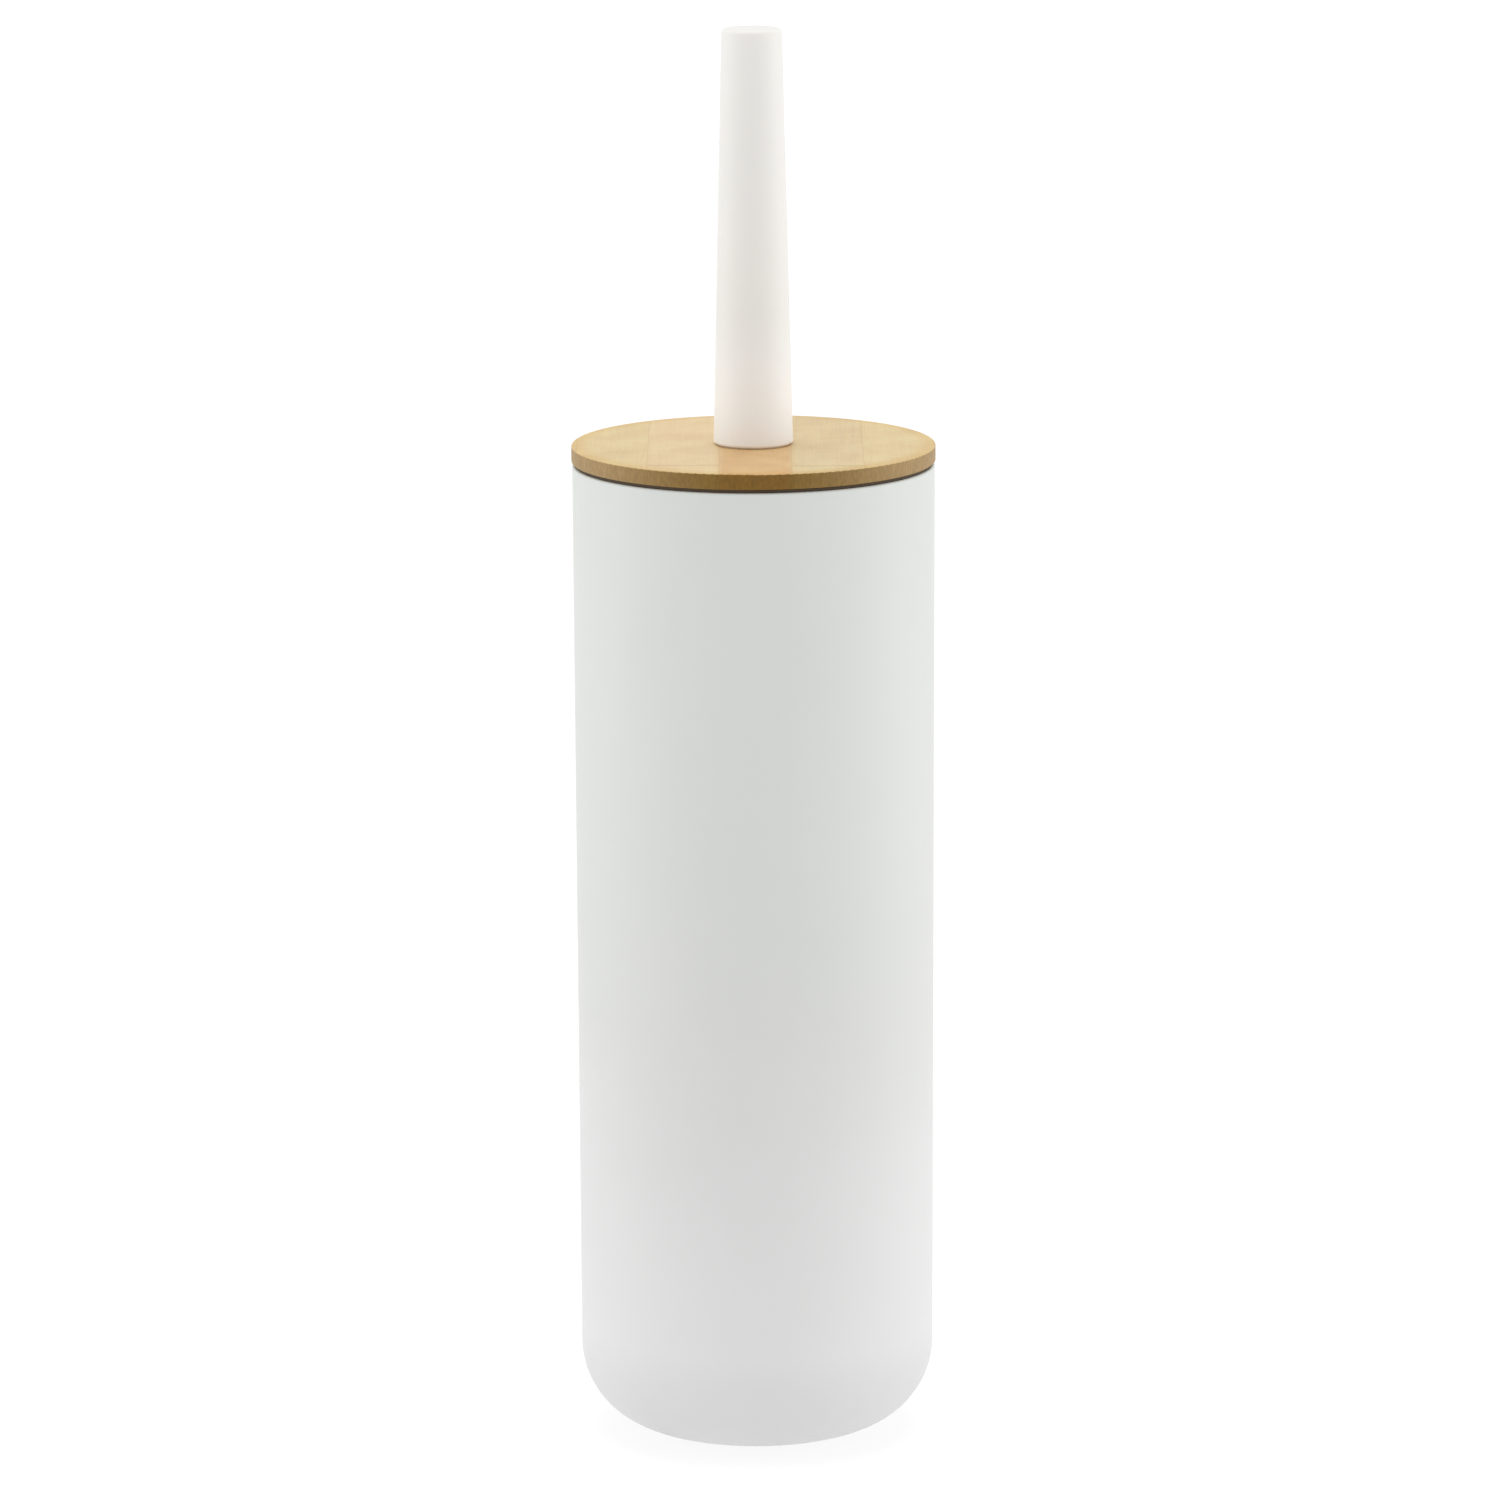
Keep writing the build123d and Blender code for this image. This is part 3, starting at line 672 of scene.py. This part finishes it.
def thread_height(turn, height, pitch):
    """How far up a right-handed thread a point is, from 0 at the root to 1 at the crest.  Its place on the
    helix is the height in pitches less the turn; the flanks rise evenly, and root and crest are flat for
    about a seventh of the pitch."""
    flat = 0.14
    phase = np.mod(height / pitch - turn / (2 * pi), 1.0)
    ramp = 1 - np.abs(2 * phase - 1)
    return np.clip((ramp - flat) / (1 - 2 * flat), 0, 1)


def fade(height, low, high, run):
    """Rises from 0 to 1 over a run above low and falls back over the same run below high."""
    return np.clip((height - low) / run, 0, 1) * np.clip((high - height) / run, 0, 1)


# ---- holder ----------------------------------------------


class FinishHolder(bpy.types.Operator):
    """Gives the cup its moulded plastic and the foot pads their rubber, and adds the cup's gate mark"""

    bl_idname = "brushset.finish_holder"
    bl_label = "Finish the holder"
    bl_options = {"REGISTER", "UNDO"}

    def execute(self, context):
        look = context.scene.brushset_holder
        low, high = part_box("outer_cup")
        # the tones up the cup are painted light and shade: darker on the bottom round, palest just above it
        # where the lit floor brightens the cup, and a little darker towards the rim
        tones = [
            (0.0, look.foot_tone), (0.04, look.foot_tone), (0.11, look.low_tone), (0.45, look.cup_tone),
            (1.0, look.rim_tone),
        ]
        cup = moulded_polypropylene(
            "cup_polypropylene_eroded_matt", tones, low.z, high.z,
            roughness=0.5, grain_depth=0.02 * MM, milkiness=0.08,
        )
        finish_node("outer_cup", cup)
        pads = soft_rubber("foot_rubber_moulded", look.pad_colour)
        for name in [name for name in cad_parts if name.startswith("foot_pad_")]:
            finish_node(name, pads)

        # gate mark: a shallow dome under the middle, whose depth falls with the square of the distance
        recess_z = low.z + look.recess_depth
        depth, rows, turns = 0.3 * MM, 8, 40
        innermost = 0.06
        share = np.linspace(innermost, 1, rows)
        heights = recess_z - depth * (1 - share**2)
        radii = look.gate_radius * share[:, None] + np.zeros(turns)
        points, faces = close_ends(round_grid(radii, heights), grid_faces(rows, turns), rows, turns)
        new_piece("gate_mark", points, faces, cup, "holder", crease=CREASE)
        return {"FINISHED"}


# ---- lid -------------------------------------------------


class FinishLid(bpy.types.Operator):
    """Gives the lid its glued bamboo, the collar its plastic and the ring under the lid its rubber"""

    bl_idname = "brushset.finish_lid"
    bl_label = "Finish the lid"
    bl_options = {"REGISTER", "UNDO"}

    def execute(self, context):
        look = context.scene.brushset_lid
        cup = context.scene.brushset_holder
        finish_node("bamboo_lid", laminated_bamboo("bamboo_board_sanded_oiled", look))
        # the ring's dark warm brown is painted shadow in the gap under the lid
        finish_node("lid_seal_ring", soft_rubber("seal_rubber_painted_shadow", look.ring_shadow_colour))
        low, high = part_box("lid_collar")
        finish_node("lid_collar", moulded_polypropylene(
            "collar_polypropylene_moulded", [(0.0, cup.cup_tone), (1.0, cup.low_tone)], low.z, high.z,
            roughness=0.4, grain_depth=0.015 * MM, milkiness=0.08,
        ))
        return {"FINISHED"}


# ---- handle ----------------------------------------------


class FinishHandle(bpy.types.Operator):
    """Gives the tapered handle, its washer, its insert and the clamping stud their materials"""

    bl_idname = "brushset.finish_handle"
    bl_label = "Finish the handle"
    bl_options = {"REGISTER", "UNDO"}

    def execute(self, context):
        look = context.scene.brushset_handle
        low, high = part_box("handle_shell")
        # the palest tone at the handle's foot is painted light, which lifts the shade that the lid casts on
        # the foot
        tones = [
            (0.0, look.foot_tone), (0.32, look.middle_tone), (0.6, look.middle_tone), (1.0, look.top_tone),
        ]
        finish_node("handle_shell", moulded_polypropylene(
            "handle_polypropylene_eroded_matt", tones, low.z, high.z,
            roughness=0.5, grain_depth=0.015 * MM, milkiness=0.15,
        ))
        finish_node("handle_washer", soft_rubber("washer_silicone_punched", look.washer_colour))
        finish_node("handle_insert", turned_metal(
            "insert_brass_turned", look.brass, roughness=0.3, ring_spacing=0.2 * MM,
        ))
        finish_node("clamp_stud", turned_metal(
            "stud_steel_zinc_plated", look.steel, roughness=0.34, ring_spacing=0.35 * MM,
        ))
        return {"FINISHED"}


# ---- stem ------------------------------------------------


THREAD_ROW, THREAD_TURNS = 0.12 * MM, 96     # how finely both threads are laid out, up and round


class FinishStem(bpy.types.Operator):
    """Gives the stem its plastic and cuts the hand thread on its end plug and in the head's socket"""

    bl_idname = "brushset.finish_stem"
    bl_label = "Finish the stem"
    bl_options = {"REGISTER", "UNDO"}

    def execute(self, context):
        look = context.scene.brushset_stem
        low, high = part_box("stem_tube")
        plastic = moulded_polypropylene(
            "stem_polypropylene_moulded", [(0.0, look.low_tone), (1.0, look.top_tone)], low.z, high.z,
            roughness=0.33, grain_depth=0.01 * MM, milkiness=0.15,
        )
        for name in ("stem_top_plug", "stem_tube", "head_core"):
            finish_node(name, plastic)
        finish_node("head_washer", soft_rubber("head_washer_rubber_punched", look.washer_colour))
        self.add_threaded_plug(look, plastic)
        self.add_socket_thread(look, plastic)
        return {"FINISHED"}

    def add_threaded_plug(self, look, plastic):
        """The end plug as one surface round the axis: nose, threaded spigot, shoulder and plug.  Along
        the spigot the radius is the root plus the thread's height at that turn and level, and the thread
        fades in and out over half a turn."""
        low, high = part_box("stem_end_plug")
        shoulder_z, tube_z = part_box("head_washer")[1].z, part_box("stem_tube")[0].z
        root = look.thread_radius - look.thread_depth
        nose, soft, plug = 0.5 * MM, 0.6 * MM, look.plug_radius
        inset = 0.29 * soft               # a round edge lies this far in from its corner, both ways
        rows = profile_rows([
            (root - nose, low.z), (root, low.z + nose), (root, shoulder_z), (high.x, shoulder_z),
            (high.x, tube_z - soft), (high.x - inset, tube_z - inset), (high.x - soft, tube_z),
            (plug, tube_z), (plug, high.z - soft), (plug - soft, high.z),
        ], THREAD_ROW)
        turn = np.linspace(0, 2 * pi, THREAD_TURNS, endpoint=False)
        level = rows[:, 1:]
        on_spigot = (rows[:, :1] <= root) & (level < shoulder_z)
        run = look.thread_pitch / 2
        rise = look.thread_depth * thread_height(turn, level, look.thread_pitch)
        rise = rise * fade(level, low.z + nose, shoulder_z, run) * on_spigot
        radii = rows[:, :1] + rise
        points, faces = close_ends(
            round_grid(radii, rows[:, 1]), grid_faces(len(rows), THREAD_TURNS), len(rows), THREAD_TURNS,
        )
        new_piece(
            "stem_end_plug_threaded", points, faces, plastic, "brush",
            replaced=["stem_end_plug"], crease=CREASE,
        )

    def add_socket_thread(self, look, plastic):
        """A closed sleeve that lines the head's socket.  Its inside keeps the play away from the plug's
        thread all the way, fades to the plain bore at both ends, and its outside lies in the core."""
        pitch, wall, mouth_room = look.thread_pitch, 0.25 * MM, 0.3 * MM
        bottom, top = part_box("stem_end_plug")[0].z - pitch / 2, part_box("head_washer")[0].z - mouth_room
        bore = look.thread_radius + look.thread_gap
        heights = np.arange(bottom, top, THREAD_ROW)[::-1]
        turn = np.linspace(0, 2 * pi, THREAD_TURNS, endpoint=False)
        level = heights[:, None]
        ridge = (1 - thread_height(turn, level, pitch)) * fade(level, bottom, top, pitch / 2)
        inside = bore - look.thread_depth * ridge
        outside = np.full((1, THREAD_TURNS), bore + wall)
        radii = np.concatenate([outside, outside, inside])
        rows = np.concatenate([[heights[-1]], [heights[0]], heights])
        # one strip more than there are rows: the last row joins the first again
        faces = np.mod(grid_faces(len(rows) + 1, THREAD_TURNS), len(rows) * THREAD_TURNS).tolist()
        new_piece(
            "socket_thread", round_grid(radii, rows), faces, plastic, "brush_head",
            crease=CREASE,
        )


# ---- bristles --------------------------------------------


def tuft_directions(count, slope, first):
    """Directions of the tufts of a row, equally spaced round the axis and dipping by the slope, each
    with two directions across it: three arrays of count vectors."""
    turn = first + np.arange(count) * 2 * pi / count
    level = np.stack([np.cos(turn), np.sin(turn), 0 * turn], axis=-1)
    upright = np.array([0.0, 0.0, 1.0])
    along = level * cos(slope) - upright * sin(slope)
    across = np.stack([-np.sin(turn), np.cos(turn), 0 * turn], axis=-1)
    return along, across, np.cross(along, across)


def strand_points(directions, centre_z, core, reach, tip_width, tip_height, look, seed):
    """Points of every filament of a row: [tuft, filament, step, side, 3], with each filament's shade.

    A filament keeps its place in the tuft's section while the section widens evenly from the round hole
    to the oval tip; over that lies a sine wave in a random plane, faded in outside the hole, and a wander
    that grows with the square of the way out.  The sides stand round it at the filament's radius."""
    steps, fade_in, wander_share = 14, 6, 0.1
    along, across, upward = (part[:, None, None, :] for part in directions)
    count, strands = len(directions[0]), look.strands
    random = np.random.default_rng(seed)
    shape = (count, strands, 1)
    share = np.linspace(0, 1, steps)
    length = reach - look.ragged * random.random(shape) ** 2
    out = look.start_radius + share * (length - look.start_radius)
    open_share = np.clip((out - core) / (reach - core), 0, 1)
    width = look.root_radius + (tip_width - look.root_radius) * open_share
    height = look.root_radius + (tip_height - look.root_radius) * open_share
    place = np.sqrt(random.random(shape)) * (1 - look.strand_radius / look.root_radius)
    angle = 2 * pi * random.random(shape)
    plane = 2 * pi * random.random(shape)
    phase = 2 * pi * random.random(shape)
    crimp = look.crimp_height * np.clip(open_share * fade_in, 0, 1)
    wave = crimp * np.sin(2 * pi * out / look.crimp_length + phase)
    wander = wander_share * tip_height * open_share**2 * random.normal(size=shape)
    right = width * place * np.cos(angle) + wave * np.cos(plane) + wander * np.sin(plane)
    up = height * place * np.sin(angle) + wave * np.sin(plane) - wander * np.cos(plane)
    middle = out[..., None] * along + right[..., None] * across + up[..., None] * upward
    side = np.arange(4) * pi / 2
    ring = np.cos(side)[:, None] * across[..., None, :] + np.sin(side)[:, None] * upward[..., None, :]
    points = middle[..., None, :] + look.strand_radius * ring
    points[..., 2] += centre_z
    return points, random.random((count, strands)), share


def strand_faces(strands, steps):
    """Corner lists of closed four-sided filaments that hold steps rings each."""
    side = np.arange(4)
    ahead = (side + 1) % 4
    ring = 4 * np.arange(steps - 1)[:, None]
    wall = np.stack([ring + side, ring + ahead, ring + ahead + 4, ring + side + 4], axis=-1).reshape(-1, 4)
    caps = np.array([[3, 2, 1, 0], [0, 1, 2, 3]])
    caps[1] += 4 * (steps - 1)
    one = np.concatenate([wall, caps])
    return (one[None] + 4 * steps * np.arange(strands)[:, None, None]).reshape(-1, 4).tolist()


def add_point_values(mesh, name, values):
    """Stores one number for each point of a mesh, for its material to read."""
    layer = mesh.attributes.new(name, "FLOAT", "POINT")
    layer.data.foreach_set("value", np.ascontiguousarray(values, np.float32).ravel())


class AddBristles(bpy.types.Operator):
    """Builds every tuft from single filaments and gives the anchor wires their metal"""

    bl_idname = "brushset.add_bristles"
    bl_label = "Add the bristles"
    bl_options = {"REGISTER", "UNDO"}

    def execute(self, context):
        look = context.scene.brushset_bristles
        filament = drawn_filament("bristle_polyester_drawn", look.colour, look.tip_colour)
        finish_node("tuft_anchors", turned_metal(
            "anchor_wire_drawn", look.wire, roughness=0.35, ring_spacing=0.5 * MM,
        ))
        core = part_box("head_core")[1].x
        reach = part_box("bristle_row_01")[1].x
        crown_low, crown_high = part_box("bristle_row_01")
        crown_z = (crown_low.z + crown_high.z) / 2
        drop = crown_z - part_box("crown_end_tuft")[0].z

        rows = sorted(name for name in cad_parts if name.startswith("bristle_row_"))
        for index, name in enumerate(rows):
            low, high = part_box(name)
            first = (index % 2) * pi / look.row_tufts
            directions = tuft_directions(look.row_tufts, 0.0, first)
            section = (look.tip_width, look.tip_height)
            self.add_row(name, directions, (low.z + high.z) / 2, core, reach, section, filament, look)
        crowns = [(f"crown_row_{place}", count, place * look.crown_slope)
                  for place, count in enumerate(look.crown_tufts, 1)]
        for name, count, slope in crowns + [("crown_end_tuft", 1, pi / 2)]:
            directions = tuft_directions(count, slope, pi / count)
            tip = 1 / np.hypot(cos(slope) / reach, sin(slope) / drop)
            section = (look.crown_tip, look.crown_tip)
            self.add_row(name, directions, crown_z, core, tip, section, filament, look)
        return {"FINISHED"}

    def add_row(self, name, directions, centre_z, core, reach, section, filament, look):
        """One piece for one row of tufts, in place of the row's CAD node."""
        seed = sum(ord(letter) * place for place, letter in enumerate(name, 1))
        points, shades, share = strand_points(directions, centre_z, core, reach, *section, look, seed)
        tufts, strands, steps = points.shape[:3]
        piece = new_piece(
            name + "_strands", points, strand_faces(tufts * strands, steps), filament,
            "brush_head", replaced=[name],
        )
        each_point = np.ones(points.shape[:4])
        add_point_values(piece.data, "shade", each_point * shades[..., None, None])
        add_point_values(piece.data, "reach", each_point * share[:, None])


# ---- stage -----------------------------------------------


def soft_light(name, place, target, width, height, power):
    """A rectangular soft box that shines from its place towards the target and isn't seen itself."""
    light = bpy.data.lights.new(name, "AREA")
    light.shape = "RECTANGLE"
    light.size, light.size_y = width, height
    light.energy = power
    box = bpy.data.objects.new(name, light)
    box.location = place
    box.rotation_euler = (Vector(target) - Vector(place)).to_track_quat("-Z", "Y").to_euler()
    box.visible_camera = False
    bpy.context.scene.collection.objects.link(box)


class SetStage(bpy.types.Operator):
    """Lays the pale floor, hangs the soft lights and sets up the camera"""

    bl_idname = "brushset.set_stage"
    bl_label = "Set the stage"
    bl_options = {"REGISTER", "UNDO"}

    def execute(self, context):
        scene = context.scene
        look = scene.brushset_stage

        # the floor: opal acrylic with a frosted skin, which the eye sees as an even pale ground
        frost_size, frost_depth = 1.5 * MM, 0.02 * MM
        material, tree, shader = new_material("floor_opal_acrylic_lit_from_below")
        place = add_node(tree, "ShaderNodeTexCoord").outputs["Object"]
        frost = add_node(
            tree, "ShaderNodeTexNoise", {"Vector": place, "Scale": 1 / frost_size, "Detail": 2.0},
        )
        bump = add_node(
            tree, "ShaderNodeBump",
            {"Height": frost.outputs["Fac"], "Strength": 0.1, "Distance": frost_depth},
        )
        feed(tree, shader, {
            "Base Color": opaque(look.floor_colour), "Roughness": 0.9, "Normal": bump.outputs["Normal"],
            "Emission Color": WHITE, "Emission Strength": look.floor_glow,
        })
        half = 12.0
        corners = [(-half, -half, 0), (half, -half, 0), (half, half, 0), (-half, half, 0)]
        mesh = bpy.data.meshes.new("floor")
        mesh.from_pydata(corners, [], [(0, 1, 2, 3)])
        mesh.materials.append(material)
        floor = bpy.data.objects.new("floor", mesh)
        scene.collection.objects.link(floor)

        world = bpy.data.worlds.new("room")
        scene.world = world
        world.use_nodes = True
        room = world.node_tree.nodes["Background"]
        room.inputs["Color"].default_value = WHITE
        room.inputs["Strength"].default_value = look.room_light

        spread, lean = radians(50), radians(-8)
        overhead = bpy.data.lights.new("top_light", "SUN")
        overhead.energy = look.top_light
        overhead.angle = spread
        top = bpy.data.objects.new("top_light", overhead)
        top.rotation_euler = (lean, 0, 0)
        scene.collection.objects.link(top)
        soft_light(
            "left_light", place=(-1.0, 0.1, 0.22), target=(0, 0, 0.15),
            width=0.7, height=0.7, power=look.left_light,
        )
        soft_light(
            "right_light", place=(1.0, 0.1, 0.17), target=(0, 0, 0.14),
            width=0.7, height=0.6, power=look.right_light,
        )

        camera = bpy.data.cameras.new("camera")
        camera.sensor_width = 36.0
        camera.lens = look.lens
        camera.clip_end = 60.0
        viewer = bpy.data.objects.new("camera", camera)
        ahead = Vector((sin(look.yaw) * cos(look.pitch), cos(look.yaw) * cos(look.pitch), -sin(look.pitch)))
        right = ahead.cross(Vector((0, 0, 1))).normalized()
        up = right.cross(ahead)
        lean_right = cos(look.roll) * right + sin(look.roll) * up
        lean_up = cos(look.roll) * up - sin(look.roll) * right
        turned = Matrix((lean_right, lean_up, -ahead)).transposed().to_4x4()
        viewer.matrix_world = Matrix.Translation((0, -look.camera_distance, look.camera_height)) @ turned
        scene.collection.objects.link(viewer)
        scene.camera = viewer
        scene.view_settings.view_transform = "Standard"
        return {"FINISHED"}


# ---- sidebar and start -----------------------------------


class BrushSetPanel(bpy.types.Panel):
    """Lists the steps in order"""

    bl_idname = "VIEW3D_PT_brushset"
    bl_label = "Brush set"
    bl_space_type = "VIEW_3D"
    bl_region_type = "UI"
    bl_category = "Brush set"

    def draw(self, context):
        for operator in OPERATORS:
            self.layout.operator(operator.bl_idname)


OPERATORS = (FinishHolder, FinishLid, FinishHandle, FinishStem, AddBristles, SetStage)
LOOKS = {
    "brushset_holder": HolderLook,
    "brushset_lid": LidLook,
    "brushset_handle": HandleLook,
    "brushset_stem": StemLook,
    "brushset_bristles": BristleLook,
    "brushset_stage": StageLook,
}


def register():
    for look in LOOKS.values():
        bpy.utils.register_class(look)
    for operator in OPERATORS:
        bpy.utils.register_class(operator)
    bpy.utils.register_class(BrushSetPanel)
    for name, look in LOOKS.items():
        setattr(bpy.types.Scene, name, bpy.props.PointerProperty(type=look))


def unregister():
    for name in LOOKS:
        delattr(bpy.types.Scene, name)
    bpy.utils.unregister_class(BrushSetPanel)
    for operator in reversed(OPERATORS):
        bpy.utils.unregister_class(operator)
    for look in reversed(list(LOOKS.values())):
        bpy.utils.unregister_class(look)


def main():
    register()
    bpy.ops.brushset.finish_holder()
    bpy.ops.brushset.finish_lid()
    bpy.ops.brushset.finish_handle()
    bpy.ops.brushset.finish_stem()
    bpy.ops.brushset.add_bristles()
    bpy.ops.brushset.set_stage()


if __name__ == "__main__":
    main()
